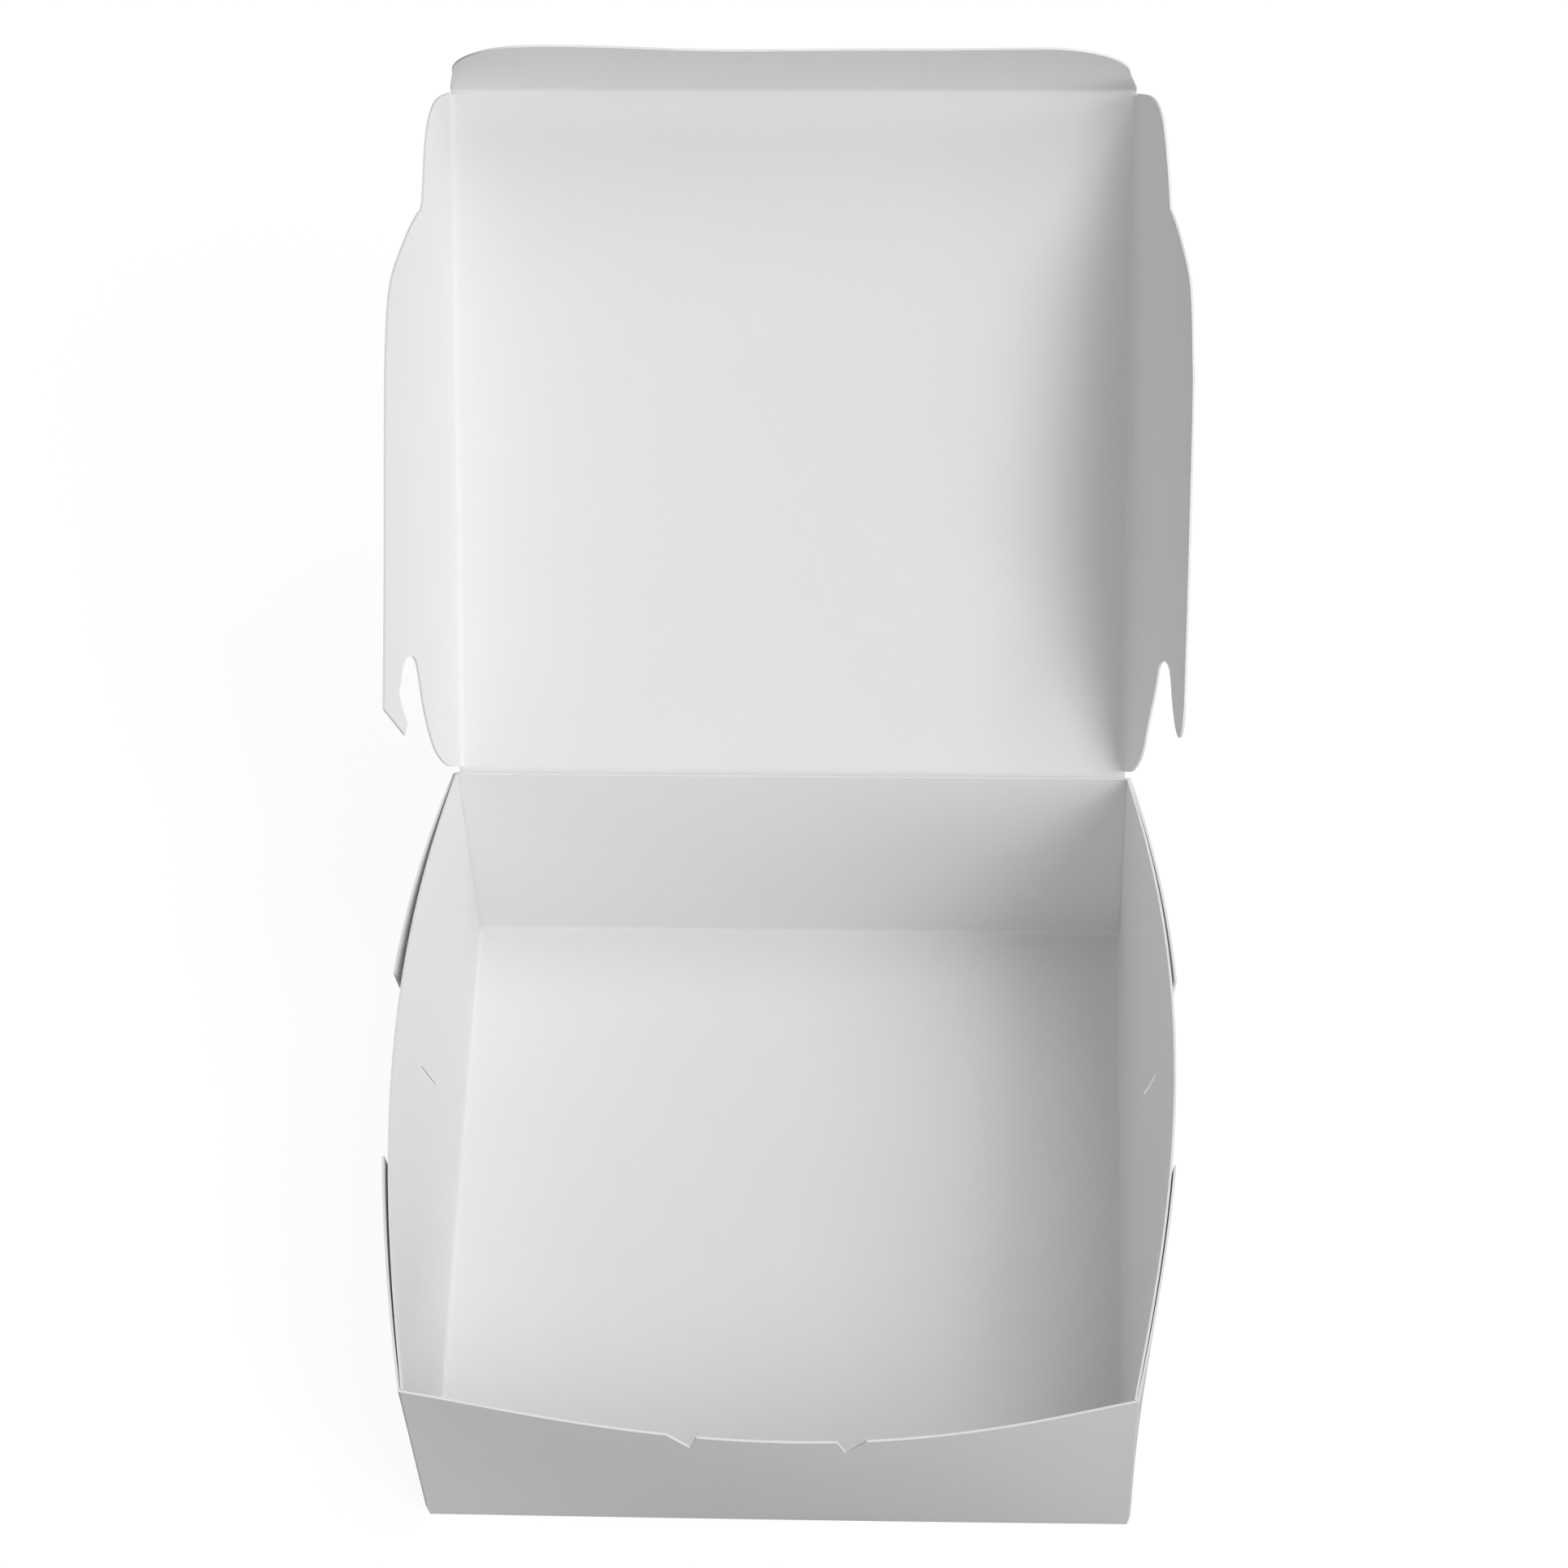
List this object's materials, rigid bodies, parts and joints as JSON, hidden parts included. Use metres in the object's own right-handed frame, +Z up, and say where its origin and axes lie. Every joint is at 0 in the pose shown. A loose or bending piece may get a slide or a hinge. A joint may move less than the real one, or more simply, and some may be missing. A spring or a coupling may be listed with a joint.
{
  "type": "cake box",
  "caption": "Open one-piece paperboard cake box: square tray with glued corner tabs and a hinged lid with a front tuck flap and side flaps.",
  "frame": {"origin": "Centre of the tray's underside, on the surface that the box rests on", "axes": "+Z up, +Y from the notched front wall to the lid hinge, +X to the right seen from the front"},
  "size_m": [0.1717, 0.2741, 0.1866],
  "materials": {
    "white_board": "uncoated white bakery board, matt"
  },
  "bodies": {
    "tray": {"tray": "white_board"},
    "lid": {"lid_panel": "white_board"},
    "front_flap": {"lid_front_flap": "white_board"},
    "left_flap": {"lid_left_flap": "white_board"},
    "right_flap": {"lid_right_flap": "white_board"}
  },
  "joints": [
    {"name": "lid_hinge", "type": "hinge", "parent": "tray", "child": "lid", "pos_m": [0, 0.078, 0.06], "axis": [1, 0, 0], "range_deg": [-60, 138.2]},
    {"name": "front_flap_fold", "type": "hinge", "parent": "lid", "child": "front_flap", "pos_m": [0, 0.18952, 0.15971], "axis": [1, 0, 0], "range_deg": [-7, 16.1]},
    {"name": "left_flap_fold", "type": "hinge", "parent": "lid", "child": "left_flap", "pos_m": [-0.0735, 0.078, 0.06], "axis": [-0.0074, 0.7455, 0.6665], "range_deg": [-7, 16.1]},
    {"name": "right_flap_fold", "type": "hinge", "parent": "lid", "child": "right_flap", "pos_m": [0.0735, 0.078, 0.06], "axis": [-0.0074, -0.7455, -0.6665], "range_deg": [-7, 16.1]}
  ],
  "couplings": [
    {"joint": "front_flap_fold", "follows": "lid_hinge", "ratio": 0.1158},
    {"joint": "left_flap_fold", "follows": "lid_hinge", "ratio": 0.1158},
    {"joint": "right_flap_fold", "follows": "lid_hinge", "ratio": 0.1158}
  ]
}
